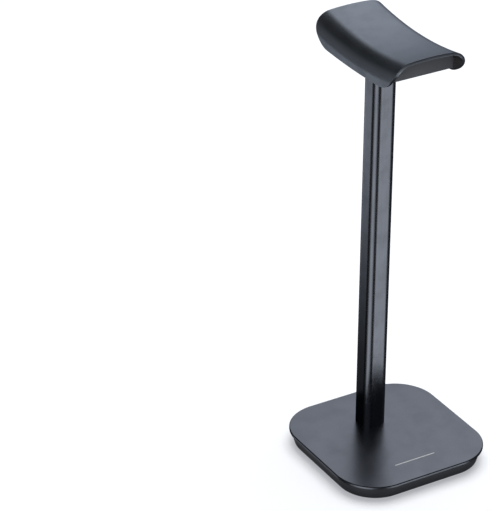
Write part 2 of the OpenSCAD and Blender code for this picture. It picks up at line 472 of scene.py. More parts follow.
def rounded_profile(corners: Sequence[Point3], steps: int = 5) -> list[Point2]:
    """Rounds the corners of an open line of points.

    Args:
        corners: Each point and the radius of its rounding. The ends stay sharp.
        steps: Facets in a rounding.

    Returns:
        The rounded line.
    """
    line: list[Point2] = []
    for index, (x, y, radius) in enumerate(corners):
        if radius <= 0.0 or index in (0, len(corners) - 1):
            line.append((x, y))
            continue
        here = Vector((x, y))
        before = (Vector(corners[index - 1][:2]) - here).normalized()
        after = (Vector(corners[index + 1][:2]) - here).normalized()
        half = before.angle(after) / 2
        reach = radius / math.tan(half)
        centre = here + (before + after).normalized() * (radius / math.sin(half))
        start, end = here + before * reach, here + after * reach
        for step in range(steps + 1):
            spot = start.lerp(end, step / steps) - centre
            spot = centre + spot.normalized() * radius
            line.append((spot.x, spot.y))
    return line


@dataclass(frozen=True)
class RoundedSquare:
    """A square outline with round corners, from which square pieces are lofted."""

    width: float
    corner: float
    centre: Point2 = (0.0, 0.0)
    facets: int = 20
    flat: float = 0.15 * MM

    def ring(self, inset: float, z: float) -> list[Vector]:
        """Points of the outline.

        Args:
            inset: How far it lies inside the full width.
            z: Its height.

        Returns:
            The points, anticlockwise from above.
        """
        reach = self.width / 2 - self.corner
        radius = self.corner - inset
        points = []
        for quarter in range(4):
            middle = math.radians(45 + 90 * quarter)
            corner = Vector(
                (math.copysign(reach, math.cos(middle)), math.copysign(reach, math.sin(middle)))
            )
            corner += Vector(self.centre)
            first = math.radians(90 * quarter)
            for step in range(self.facets + 1):
                turn = first + math.radians(90) * step / self.facets
                spot = corner + radius * Vector((math.cos(turn), math.sin(turn)))
                side = Vector((-math.sin(turn), math.cos(turn))) * self.flat
                if step == 0:
                    points.append((*(spot - side), z))
                points.append((*spot, z))
                if step == self.facets:
                    points.append((*(spot + side), z))
        return [Vector(point) for point in points]

    def loft(self, profile: Sequence[Point2], hollow: bool = False) -> bmesh.types.BMesh:
        """Skins the outline along a profile of insets and heights.

        Args:
            profile: Inset and height of each ring, in order.
            hollow: True joins the last ring to the first; otherwise both are closed flat.

        Returns:
            A closed mesh that faces outwards.
        """
        shape = bmesh.new()
        rings = [[shape.verts.new(p) for p in self.ring(inset, z)] for inset, z in profile]
        pairs = list(zip(rings, rings[1:] + rings[:1] if hollow else rings[1:]))
        for low, high in pairs:
            for i in range(len(low)):
                j = (i + 1) % len(low)
                shape.faces.new((low[i], low[j], high[j], high[i]))
        if not hollow:
            shape.faces.new(rings[0])
            shape.faces.new(rings[-1])
        bmesh.ops.recalc_face_normals(shape, faces=shape.faces)
        return shape


# Finishes


class Grain(Enum):
    """How an anodised surface was worked before it was dyed."""

    BLASTED = (1.0, 1.0, 1.0)
    DRAWN = (1.0, 1.0, 0.015)


@dataclass(frozen=True)
class Anodised:
    """Dyed, sealed aluminium with a fine blasted or drawn grain."""

    name: str
    tint: Colour
    roughness: float = 0.30
    grain: Grain = Grain.BLASTED
    grain_size: float = 0.35 * MM
    relief: float = 0.35
    metal: float = 1.0
    grazing: float = 0.32
    cloud_size: float = 22 * MM
    grain_depth: float = 0.02 * MM

    def worked(self, sheet: FinishSheet) -> tuple[Signal, Signal]:
        """Grain of the surface and the slow clouding of the dye.

        Args:
            sheet: The finish's tree.

        Returns:
            The grain and the clouding, both about one half.
        """
        grain = sheet.noise(self.grain_size, 3.0, self.grain.value)
        cloud = sheet.noise(self.cloud_size, 2.0)
        return grain, cloud

    def dyed(self, sheet: FinishSheet, grain: Signal, cloud: Signal) -> Socket:
        """Colour of the dye, a little uneven."""
        low, high = shade(self.tint, 0.86), shade(self.tint, 1.16)
        return sheet.blend(cloud * 0.6 + grain * 0.4, low, high)

    def worn(self, grain: Signal, handled: Signal) -> Signal:
        """Roughness, with the grain and faint marks of handling."""
        return self.roughness + (grain - 0.5) * 0.16 + handled * 0.05

    def rim_tint(self) -> tuple[float, float, float, float]:
        """Colour of a glancing reflection, which the dyed layer dims."""
        return (self.grazing, self.grazing, self.grazing * 1.06, 1.0)

    def material(self) -> Finish:
        """Builds the plain finish."""
        sheet = FinishSheet(self.name)
        grain, cloud = self.worked(sheet)
        handled = sheet.noise(9 * MM, 4.0).ramp(0.42, 0.68)
        return sheet.surface(
            Base_Color=self.dyed(sheet, grain, cloud),
            Metallic=self.metal,
            Roughness=self.worn(grain, handled),
            Specular_Tint=self.rim_tint(),
            Normal=sheet.bump(grain, self.grain_depth, self.relief),
        )


@dataclass(frozen=True)
class AnodisedPlate(Anodised):
    """Anodised sheet with a band of painted dark reflection along its broken edge, and one thin
    printed line.
    """

    square: RoundedSquare = RoundedSquare(100 * MM, 26.5 * MM)
    top: float = 10.2 * MM
    # Colour of the band that paints in the dark reflection along the broken edge.
    edge: Colour = (0.045, 0.049, 0.058)
    edge_width: float = 0.42 * MM
    edge_waver: float = 0.10 * MM
    edge_depth: float = 0.50 * MM
    edge_fade: float = 0.10 * MM
    edge_foot_fade: float = 0.08 * MM
    ink: Colour = (0.42, 0.43, 0.44)
    line_length: float = 28 * MM
    line_width: float = 0.8 * MM
    line_y: float = -32.3 * MM
    line_blur: float = 0.05 * MM

    def material(self) -> Finish:
        """Builds the finish, with its band of painted dark reflection along the edge and its
        printed line.
        """
        sheet = FinishSheet(self.name)
        grain, cloud = self.worked(sheet)
        x, y, z = sheet.parts(sheet.place)
        reach = self.square.width / 2 - self.square.corner
        out_x = (x.size() - reach).at_least(0.0)
        out_y = (y.size() - reach).at_least(0.0)
        inset = self.square.corner - (out_x.squared() + out_y.squared()).root()
        wavering = inset + (grain - 0.5) * self.edge_waver
        foot = self.top - self.edge_depth
        # The edge band paints in the dark reflection seen along the broken edge.
        painted_dark_edge = wavering.ramp(self.edge_width, self.edge_width + self.edge_fade, 1.0, 0.0)
        painted_dark_edge = painted_dark_edge * z.ramp(foot, foot + self.edge_foot_fade)
        past_end = x.size() - self.line_length / 2
        past_side = (y - self.line_y).size() - self.line_width / 2
        printed = z.over(self.top - 0.1 * MM)
        for past in (past_end, past_side):
            printed = printed * past.ramp(-self.line_blur, self.line_blur, 1.0, 0.0)
        handled = sheet.noise(14 * MM, 4.0).ramp(0.40, 0.70)
        dyed_with_painted_edge = sheet.blend(painted_dark_edge, self.dyed(sheet, grain, cloud), self.edge)
        return sheet.surface(
            Base_Color=sheet.blend(printed, dyed_with_painted_edge, self.ink),
            Metallic=self.metal * (1.0 - printed * 0.9),
            Roughness=self.worn(grain, handled) + painted_dark_edge * 0.06 + printed * 0.2,
            Specular_Tint=self.rim_tint(),
            Normal=sheet.bump(grain, self.grain_depth, self.relief),
        )


@dataclass(frozen=True)
class Moulded:
    """Injection-moulded plastic with an etched texture."""

    name: str
    tint: Colour
    roughness: float = 0.55
    texture: float = 0.45 * MM
    relief: float = 0.5

    def material(self) -> Finish:
        """Builds the finish: etched grains, faint flow marks and scuffed high spots."""
        sheet = FinishSheet(self.name)
        etched = sheet.cells(self.texture) * 0.6 + sheet.noise(self.texture * 0.6) * 0.4
        flow = sheet.noise(30 * MM, 3.0, (1.0, 0.35, 1.0))
        scuffed = sheet.noise(5 * MM, 5.0).ramp(0.55, 0.75) * 0.5
        low, high = shade(self.tint, 0.85), shade(self.tint, 1.2)
        return sheet.surface(
            Base_Color=sheet.blend(flow * 0.7 + etched * 0.3, low, high),
            Roughness=self.roughness + (flow - 0.5) * 0.08 - scuffed * 0.06,
            Normal=sheet.bump(etched, 0.03 * MM, self.relief),
        )


@dataclass(frozen=True)
class ZincPlate:
    """Zinc-plated steel with faint spangles."""

    name: str
    tint: Colour = (0.52, 0.54, 0.58)
    roughness: float = 0.34

    def material(self) -> Finish:
        """Builds the finish: spangles of different greys and a fine rolled grain."""
        sheet = FinishSheet(self.name)
        spangle = sheet.cells(4 * MM)
        rolled = sheet.noise(0.4 * MM, 3.0, (1.0, 0.06, 1.0))
        stained = sheet.noise(16 * MM, 4.0).ramp(0.5, 0.8)
        low, high = shade(self.tint, 0.78), shade(self.tint, 1.15)
        return sheet.surface(
            Base_Color=sheet.blend(spangle * 0.6 + stained * 0.3, low, high),
            Metallic=1.0,
            Roughness=self.roughness + (rolled - 0.5) * 0.2 + stained * 0.1,
            Normal=sheet.bump(rolled, 0.02 * MM, 0.3),
        )


@dataclass(frozen=True)
class Silicone:
    """Soft matte silicone that holds a little dust."""

    name: str
    tint: Colour = (0.022, 0.022, 0.024)
    dust: Colour = (0.085, 0.083, 0.08)

    def material(self) -> Finish:
        """Builds the finish: a felted grain with dust in its low spots."""
        sheet = FinishSheet(self.name)
        grain = sheet.noise(0.3 * MM, 4.0)
        dusty = sheet.noise(7 * MM, 5.0).ramp(0.52, 0.78) * (1.0 - grain)
        return sheet.surface(
            Base_Color=sheet.blend(dusty * 0.5, self.tint, self.dust),
            Roughness=0.82 + (grain - 0.5) * 0.12,
            Normal=sheet.bump(grain, 0.04 * MM, 0.5),
        )


def shade(colour: Colour, factor: float) -> Colour:
    """A colour made lighter or darker by a factor."""
    return tuple(min(1.0, channel * factor) for channel in colour)


@dataclass
class FinishShelf:
    """Every finish of the stand, each made once."""

    graphite: Colour = (0.150, 0.166, 0.192)
    plate: Finish = field(init=False)
    pole: Finish = field(init=False)
    skin: Finish = field(init=False)
    core: Finish = field(init=False)
    inside: Finish = field(init=False)
    housing: Finish = field(init=False)
    zinc: Finish = field(init=False)
    screw: Finish = field(init=False)
    silicone: Finish = field(init=False)
    film: Finish = field(init=False)

    def __post_init__(self) -> None:
        """Builds the materials."""
        self.plate = AnodisedPlate(
            "anodised_plate", (0.138, 0.148, 0.172), top=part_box("base_top_plate")[1].z
        ).material()
        self.pole = Anodised(
            "anodised_pole", (0.144, 0.156, 0.180), 0.23, Grain.DRAWN, 0.3 * MM, 0.25
        ).material()
        self.skin = Anodised(
            "satin_skin", shade(self.graphite, 1.38), 0.355, Grain.BLASTED, 0.4 * MM, 0.3, 0.97
        ).material()
        self.core = Moulded("core_moulding", (0.182, 0.192, 0.220), 0.42).material()
        # Inner faces of the skin: a dark moulding, made darker still to paint in the shade inside
        # the skin's hollow.
        self.inside = Moulded("skin_inside_painted_shade", (0.045, 0.046, 0.051), 0.55).material()
        self.housing = Moulded("housing_moulding", (0.120, 0.125, 0.142), 0.42).material()
        self.zinc = ZincPlate("zinc_plate").material()
        self.screw = ZincPlate("dark_screw_steel", (0.22, 0.225, 0.24), 0.3).material()
        self.silicone = Silicone("mat_silicone").material()
        self.film = Moulded("bonding_film", (0.62, 0.60, 0.55), 0.4).material()


# Sub-assemblies


@dataclass
class Base:
    """The weighted base: sheet, film, housing, weight, cover and mat."""

    finishes: FinishShelf
    corner: float = 26.5 * MM
    overhang: float = 1.0 * MM
    foot_inset: float = 3.4 * MM
    wall: float = 2.2 * MM
    roof: float = 1.6 * MM
    lip: float = 8 * MM
    edge_break: float = 0.4 * MM
    dot_pitch: float = 3.0 * MM
    dot_height: float = 0.15 * MM
    dot_radius: float = 0.8 * MM
    dot_root: float = 0.1 * MM
    dot_margin: float = 3.0 * MM

    def build(self) -> list[Piece]:
        """Builds and dresses every piece of the base."""
        return [self.sheet(), self.housing(), self.mat(), *self.hidden()]

    def sheet(self) -> Piece:
        """The metal top plate, with its broken edges rounded."""
        low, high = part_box("base_top_plate")
        profile = rounded_profile(
            [
                (self.corner * 0.3, low.z, 0.0),
                (0.0, low.z, 0.32 * MM),
                (0.0, high.z - self.edge_break, 0.12 * MM),
                (self.edge_break, high.z, 0.16 * MM),
                (self.corner * 0.3, high.z, 0.0),
            ]
        )
        square = RoundedSquare(high.x - low.x, self.corner, facets=32)
        piece = add_piece("base_sheet", square.loft(profile), self.finishes.plate)
        smooth(piece, 50)
        return place(piece, "anodised_plate", "base_top_plate")

    def housing(self) -> Piece:
        """The moulded housing: a leaning wall, a roof and a hollow underneath."""
        low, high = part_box("base_housing")
        full_width = 2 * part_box("base_top_plate")[1].x
        inner = self.foot_inset + self.wall
        roof_z = high.z - self.roof
        profile = rounded_profile(
            [
                (inner + self.lip, roof_z, 0.0),
                (inner, roof_z, 0.6 * MM),
                (inner, low.z, 0.15 * MM),
                (self.foot_inset, low.z, 0.35 * MM),
                (self.overhang, high.z, 0.25 * MM),
                (self.overhang + self.lip, high.z, 0.0),
            ]
        )
        square = RoundedSquare(full_width, self.corner, facets=32)
        piece = add_piece("housing_shell", square.loft(profile), self.finishes.housing)
        smooth(piece, 50)
        return place(piece, "housing_plastic", "base_housing")

    def mat(self) -> Piece:
        """The silicone mat, with a field of grip dots that stand on the table."""
        low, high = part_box("antislip_mat")
        width = high.x - low.x
        corner = self.corner - (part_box("base_top_plate")[1].x - high.x)
        square = RoundedSquare(width, corner, facets=20)
        profile = rounded_profile(
            [
                (corner * 0.4, low.z + self.dot_height, 0.0),
                (1.2 * MM, low.z + self.dot_height, 0.0),
                (1.0 * MM, low.z, 0.0),
                (0.0, low.z, 0.2 * MM),
                (0.0, high.z, 0.1 * MM),
                (corner * 0.4, high.z, 0.0),
            ],
            3,
        )
        piece = add_piece("grip_mat", square.loft(profile), self.finishes.silicone)
        smooth(piece, 40)
        place(piece, "mat_silicone", "antislip_mat")
        self.dots(width, corner)
        return piece

    def dots(self, width: float, corner: float) -> Piece:
        """The grip dots: one low six-sided stud on each point of a grid.

        Args:
            width: Width of the mat.
            corner: Radius of the mat's corners.

        Returns:
            The dots as one piece.
        """
        count = int((width - 2 * self.dot_margin) / self.dot_pitch) + 1
        tall = self.dot_height + self.dot_root
        span = (count - 1) * self.dot_pitch
        sheet = ShapeSheet(
            "grip_dots",
            {
                "Span": span,
                "Rows": count,
                "Dot radius": self.dot_radius,
                "Dot height": tall,
                "Reach": width / 2 - corner,
                "Limit": corner - self.dot_radius * 3,
            },
        )
        side, rows = sheet.size("Span"), sheet.size("Rows")
        grid = sheet.grid(side, side, rows, rows)
        x, y, _ = sheet.parts(sheet.out("GeometryNodeInputPosition"))
        reach = sheet.size("Reach")
        out = (x.size() - reach).at_least(0.0).squared()
        out = (out + (y.size() - reach).at_least(0.0).squared()).root()
        kept = sheet.out(
            "GeometryNodeDeleteGeometry",
            {"domain": "POINT"},
            {"Geometry": grid, "Selection": out.over(sheet.size("Limit"))},
        )
        dot = sheet.cylinder(6, sheet.size("Dot radius"), sheet.size("Dot height"))
        lifted = sheet.move(dot, (0.0, 0.0, tall / 2))
        piece = sheet.realise(sheet.copies(lifted, kept), self.finishes.silicone)
        return place(piece, "mat_silicone")

    def hidden(self) -> list[Piece]:
        """Dresses the CAD pieces that the housing closes in, and the cover under them."""
        dress("plate_adhesive", self.finishes.film)
        dress("weight_plate", self.finishes.zinc)
        return [refined("bottom_cover", "cover_moulding", self.finishes.housing, 0.12 * MM)]


@dataclass
class Pole:
    """The extruded square pole."""

    finishes: FinishShelf
    corner: float = 4.4 * MM
    wall: float = 1.4 * MM
    port_offset: float = 3.2 * MM
    port_outer: float = 3.2 * MM
    port_bore: float = 1.8 * MM
    port_gap: float = 0.01 * MM

    def build(self) -> list[Piece]:
        """Builds the tube and the screw ports inside it."""
        low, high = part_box("pole")
        centre = ((low.x + high.x) / 2, (low.y + high.y) / 2)
        square = RoundedSquare(high.x - low.x, self.corner, centre, facets=14)
        profile = [(0.0, low.z), (0.0, high.z), (self.wall, high.z), (self.wall, low.z)]
        tube = add_piece("pole_tube", square.loft(profile, hollow=True), self.finishes.pole)
        smooth(tube, 40)
        place(tube, "anodised_pole", "pole")
        return [tube, self.ports(centre, low.z, high.z)]

    def ports(self, centre: Point2, low: float, high: float) -> Piece:
        """The two screw ports, drawn from one ring on a diagonal of the tube.

        Args:
            centre: Middle of the tube.
            low: Height of the tube's foot.
            high: Height of its top.

        Returns:
            The ports as one piece.
        """
        sheet = ShapeSheet(
            "pole_screw_ports",
            {
                "Outer radius": self.port_outer,
                "Bore radius": self.port_bore,
                "Length": high - low - 2 * self.port_gap,
            },
        )
        rings = [sheet.circle(32, sheet.size(f"{edge} radius")) for edge in ("Outer", "Bore")]
        filled = sheet.out("GeometryNodeFillCurve", sockets={"Curve": sheet.join(*rings)})
        raised = sheet.out(
            "GeometryNodeExtrudeMesh",
            sockets={
                "Mesh": filled,
                "Offset": (0.0, 0.0, 1.0),
                "Offset Scale": sheet.size("Length"),
                "Individual": False,
            },
        )
        closed = sheet.join(raised, sheet.out("GeometryNodeFlipFaces", sockets={"Mesh": filled}))
        merged = sheet.out(
            "GeometryNodeMergeByDistance", sockets={"Geometry": closed, "Distance": WELD}
        )
        ends = [
            sheet.move(
                merged,
                (
                    centre[0] + s * self.port_offset,
                    centre[1] + s * self.port_offset,
                    low + self.port_gap,
                ),
            )
            for s in (-1, 1)
        ]
        piece = sheet.realise(sheet.join(*ends), self.finishes.pole)
        smooth(piece, 40)
        return place(piece, "anodised_pole")


@dataclass
class SaddleSkin:
    """The saddle's outer skin, shaped by one rule: an arch swept along the saddle's dip."""

    finishes: FinishShelf
    crown_z: float = 271.0 * MM
    dip_radius: float = 226 * MM
    crown_half: float = 14.2 * MM
    crown_radius: float = 166 * MM
    shoulder_radius: float = 11.2 * MM
    flank: float = 15.2 * MM
    lower_radius: float = 309 * MM
    corner_radius: float = 13.8 * MM
    thickness: float = 1.8 * MM
    rim_rounding: float = 0.55 * MM
    peg_radius: float = 1.9 * MM
    peg_pitch: Point2 = (16 * MM, 56 * MM)
    peg_reach: float = 3.2 * MM
    head_spread: float = 1.4
    head_flatness: float = 0.45
    across: int = 141
    along: int = 121
    crowding: float = 1.6

    def build(self) -> list[Piece]:
        """Builds the skin and its pegs."""
        low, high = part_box("saddle_skin")
        skin = self.shell((low.y + high.y) / 2, high.y - low.y)
        return [skin, self.pegs((low.y + high.y) / 2)]

    def shell(self, middle: float, length: float) -> Piece:
        """The skin as a ruled sheet, given its thickness and a rounded rim.

        Args:
            middle: Where the middle of its length lies along Y.
            length: Its length from front to back.

        Returns:
            The skin.
        """
        sheet = ShapeSheet(
            "saddle_shell",
            {
                "Length": length,
                "Crown height": self.crown_z,
                "Dip radius": self.dip_radius,
                "Crown half width": self.crown_half,
                "Crown radius": self.crown_radius,
                "Shoulder radius": self.shoulder_radius,
                "Flank": self.flank,
                "Lower edge radius": self.lower_radius,
                "Corner radius": self.corner_radius,
                "Middle": middle,
                "Columns": self.across,
                "Rows": self.along,
            },
        )
        grid = sheet.grid(2.0, 2.0, sheet.size("Columns"), sheet.size("Rows"))
        u, v, _ = sheet.parts(sheet.out("GeometryNodeInputPosition"))
        shaped = sheet.out(
            "GeometryNodeSetPosition",
            sockets={"Geometry": grid, "Position": self.rule(sheet, u, v)},
        )
        piece = sheet.realise(shaped, self.finishes.skin)
        # The inner faces take the darker finish that paints in the shade inside the skin.
        piece.data.materials.append(self.finishes.inside)
        thick = piece.modifiers.new("thickness", "SOLIDIFY")
        thick.material_offset = 1
        thick.thickness = self.thickness
        thick.offset = -1.0
        thick.use_even_offset = True
        rim = piece.modifiers.new("rim", "BEVEL")
        rim.width = self.rim_rounding
        rim.segments = 4
        rim.limit_method = "ANGLE"
        rim.angle_limit = math.radians(50)
        bake(piece)
        smooth(piece, 40)
        return place(piece, "skin_plastic", "saddle_skin")

    def rule(self, sheet: ShapeSheet, u: Signal, v: Signal) -> Socket:
        """Places a point of the sheet.

        Args:
            sheet: The tree that holds the sizes.
            u: Place across the saddle, from -1 to 1.
            v: Place along the saddle, from -1 to 1.

        Returns:
            The point's position.
        """
        crown_r, shoulder_r = sheet.size("Crown radius"), sheet.size("Shoulder radius")
        dip_r, corner_r = sheet.size("Dip radius"), sheet.size("Corner radius")
        edge_r = sheet.size("Lower edge radius")
        axis_z = sheet.size("Crown height") + dip_r
        edge_axis = sheet.size("Crown height") - sheet.size("Flank") + edge_r
        lean = (sheet.size("Crown half width") / crown_r).arc_sine()
        shoulder_depth = crown_r * (1.0 - lean.cosine()) + shoulder_r * lean.cosine()

        crown_length = crown_r * lean
        shoulder_length = shoulder_r * (math.pi / 2 - lean)
        straight_y = v.size() * sheet.size("Length") / 2.0
        edge_z = edge_axis - (edge_r.squared() - straight_y.squared()).root()
        edge_depth = (straight_y.squared() + (axis_z - edge_z).squared()).root() - dip_r
        reach = crown_length + shoulder_length + (edge_depth - shoulder_depth)
        inset = reach * (1.0 - u.size()).power(self.crowding)
        tuck = (corner_r - inset).at_least(0.0)
        cut = corner_r - (corner_r.squared() - tuck.squared()).root()
        y = v.size() * (sheet.size("Length") / 2.0 - cut)

        run = reach - inset
        on_crown = run.at_most(crown_length) / crown_r
        on_shoulder = (run - crown_length).at_least(0.0).at_most(shoulder_length) / shoulder_r
        hung = (run - crown_length - shoulder_length).at_least(0.0)
        x = crown_r * on_crown.sine() + shoulder_r * ((lean + on_shoulder).sine() - lean.sine())
        depth = (
            crown_r * (1.0 - on_crown.cosine())
            + shoulder_r * (lean.cosine() - (lean + on_shoulder).cosine())
            + hung
        )
        z = axis_z - ((dip_r + depth).squared() - y.squared()).root()
        return sheet.vector(u.sign() * x, v.sign() * y + sheet.size("Middle"), z)

    def pegs(self, middle: float) -> Piece:
        """The skin's four pegs, each with a staked head under the core's top wall.

        Args:
            middle: Where the middle of the skin's length lies along Y.

        Returns:
            The pegs as one piece.
        """
        rise = (self.peg_pitch[1] / 2) ** 2 / (2 * self.dip_radius)
        top = self.crown_z + rise - self.thickness * 0.8
        bottom = self.crown_z + rise - self.thickness - self.peg_reach
        sheet = ShapeSheet(
            "skin_pegs",
            {
                "Pitch across": self.peg_pitch[0],
                "Pitch along": self.peg_pitch[1],
                "Peg radius": self.peg_radius,
                "Peg length": top - bottom,
                "Head radius": self.peg_radius * self.head_spread,
            },
        )
        grid = sheet.grid(sheet.size("Pitch across"), sheet.size("Pitch along"), 2, 2)
        shank = sheet.cylinder(24, sheet.size("Peg radius"), sheet.size("Peg length"))
        head = sheet.out(
            "GeometryNodeMeshUVSphere",
            sockets={"Segments": 24, "Rings": 12, "Radius": sheet.size("Head radius")},
        )
        flat_head = sheet.out(
            "GeometryNodeTransform",
            sockets={"Geometry": head, "Scale": (1.0, 1.0, self.head_flatness)},
        )
        peg = sheet.join(
            sheet.move(shank, (0.0, 0.0, (top + bottom) / 2)),
            sheet.move(flat_head, (0.0, 0.0, bottom)),
        )
        placed = sheet.move(sheet.copies(peg, grid), (0.0, middle, 0.0))
        piece = sheet.realise(placed, self.finishes.core)
        smooth(piece, 40)
        return place(piece, "skin_plastic")


@dataclass
class SaddleCore:
    """The moulded core that carries the skin and takes the pole."""

    finishes: FinishShelf

    def build(self) -> list[Piece]:
        """Softens the core's edges and dresses it and its washers."""
        dress("saddle_washers", self.finishes.zinc)
        return [refined("saddle_core", "core_moulding", self.finishes.core, 0.25 * MM)]


class HeadStyle(Enum):
    """Shape of a screw's head."""

    FLAT = "flat"
    PAN = "pan"


@dataclass
class ScrewSet:
    """Identical screws: a head with a cross recess and a cut thread."""

    name: str
    node: str
    style: HeadStyle
    places: Sequence[Point2]
    bearing_z: float
    tip_z: float
    head_radius: float
    head_height: float
    thread_radius: float
    pitch: float
    finishes: FinishShelf
    core_share: float = 0.9
    threaded: float = 0.72
    thread_start: float = 0.25
    ridge: float = 0.32
    pan_taper: float = 0.72
    bar: Point3 = (1.1, 0.2, 1.2)

    @property
    def length(self) -> float:
        """Length from the bearing height to the tip."""
        return abs(self.tip_z - self.bearing_z)

    def build(self) -> list[Piece]:
        """Builds one screw and puts a copy at each place."""
        threaded = self.length * self.threaded
        sheet = ShapeSheet(
            self.name,
            {
                "Head radius": self.head_radius,
                "Head height": self.head_height,
                "Core radius": self.thread_radius * self.core_share,
                "Length": self.length,
                "Thread length": threaded,
                "Turns": threaded / self.pitch,
                "Ridge": self.pitch * self.ridge,
            },
        )
        screw = sheet.join(self.head(sheet), *self.thread(sheet))
        turn = 0.0 if self.tip_z > self.bearing_z else math.pi
        spots = [sheet.move(screw, (x, y, self.bearing_z), turn) for x, y in self.places]
        piece = sheet.realise(sheet.join(*spots), self.finishes.screw)
        smooth(piece, 35)
        return [place(piece, "screw_steel", self.node)]

    def head(self, sheet: ShapeSheet) -> Socket:
        """The head, with its recess cut in.

        Args:
            sheet: The screw's tree. The screw points up from its bearing height.

        Returns:
            The head's mesh.
        """
        flat = self.style is HeadStyle.FLAT
        cone = sheet.out(
            "GeometryNodeMeshCone",
            sockets={
                "Vertices": 32,
                "Radius Bottom": sheet.size("Head radius") * (1.0 if flat else self.pan_taper),
                "Radius Top": sheet.size("Core radius") if flat else sheet.size("Head radius"),
                "Depth": sheet.size("Head height"),
            },
        )
        base = 0.0 if flat else -self.head_height
        blank = sheet.move(cone, (0.0, 0.0, base))
        long, thin, deep = self.bar
        recess = []
        for across, along in ((long, thin), (thin, long)):
            sides = (self.head_radius * across, self.head_radius * along, self.head_height * deep)
            bar = sheet.out("GeometryNodeMeshCube", sockets={"Size": sides})
            recess.append(sheet.move(bar, (0.0, 0.0, base)))
        return sheet.cut(blank, recess)

    def thread(self, sheet: ShapeSheet) -> list[Socket]:
        """The shank and the ridge that winds round it.

        Args:
            sheet: The screw's tree.

        Returns:
            The shank's and the ridge's meshes.
        """
        shank = sheet.cylinder(24, sheet.size("Core radius"), sheet.size("Length"))
        spiral = sheet.out(
            "GeometryNodeCurveSpiral",
            sockets={
                "Resolution": 20,
                "Rotations": sheet.size("Turns"),
                "Start Radius": sheet.size("Core radius"),
                "End Radius": sheet.size("Core radius"),
                "Height": sheet.size("Thread length"),
            },
        )
        ridge = sheet.circle(4, sheet.size("Ridge"))
        wound = sheet.out(
            "GeometryNodeCurveToMesh",
            sockets={"Curve": spiral, "Profile Curve": ridge, "Fill Caps": True},
        )
        return [
            sheet.move(shank, (0.0, 0.0, self.length / 2)),
            sheet.move(wound, (0.0, 0.0, self.length * self.thread_start)),
        ]


def dress(node: str, material: Finish) -> None:
    """Gives a CAD piece that stays its finish."""
    slots = frame["nodes"][node].material_slots
    for slot in slots:
        slot.link = "OBJECT"
        slot.material = material


def refined(node: str, name: str, material: Finish, rounding: float) -> Piece:
    """Makes a copy of a CAD piece with smooth curves and softened edges.

    Args:
        node: The CAD node that the copy stands for.
        name: The copy's name.
        material: Its finish.
        rounding: Radius given to its edges.

    Returns:
        The copy.
    """
    shape = bmesh.new()
    shape.from_mesh(frame["nodes"][node].data)
    bmesh.ops.remove_doubles(shape, verts=shape.verts, dist=2 * WELD)
    bmesh.ops.dissolve_limit(
        shape, angle_limit=math.radians(0.5), verts=shape.verts, edges=shape.edges
    )
    piece = add_piece(name, shape, material)
    soft = piece.modifiers.new("soft_edges", "BEVEL")
    soft.width = rounding
    soft.segments = 2
    soft.limit_method = "ANGLE"
    soft.angle_limit = math.radians(50)
    bake(piece)
    smooth(piece, 35)
    record_slot = next(
        part["material_slot"] for part in frame["record"]["subparts"] if part["node"] == node
    )
    return place(piece, record_slot, node)


# Studio


def direction(azimuth: float, elevation: float) -> Vector:
    """Unit vector at an azimuth, anticlockwise from the front, and an elevation, in degrees."""
    a, e = math.radians(azimuth), math.radians(elevation)
    return Vector((math.sin(a) * math.cos(e), -math.cos(a) * math.cos(e), math.sin(e)))


@dataclass(frozen=True)
class LightPatch:
    """A soft round patch of light in the studio, seen only in the stand's reflections.

    Its azimuth runs anticlockwise from the front, as the camera's does, and its centre is fully
    bright out to the core angle and fades to nothing at the edge angle.
    """

    azimuth: float
    elevation: float
    core: float
    edge: float
    level: float


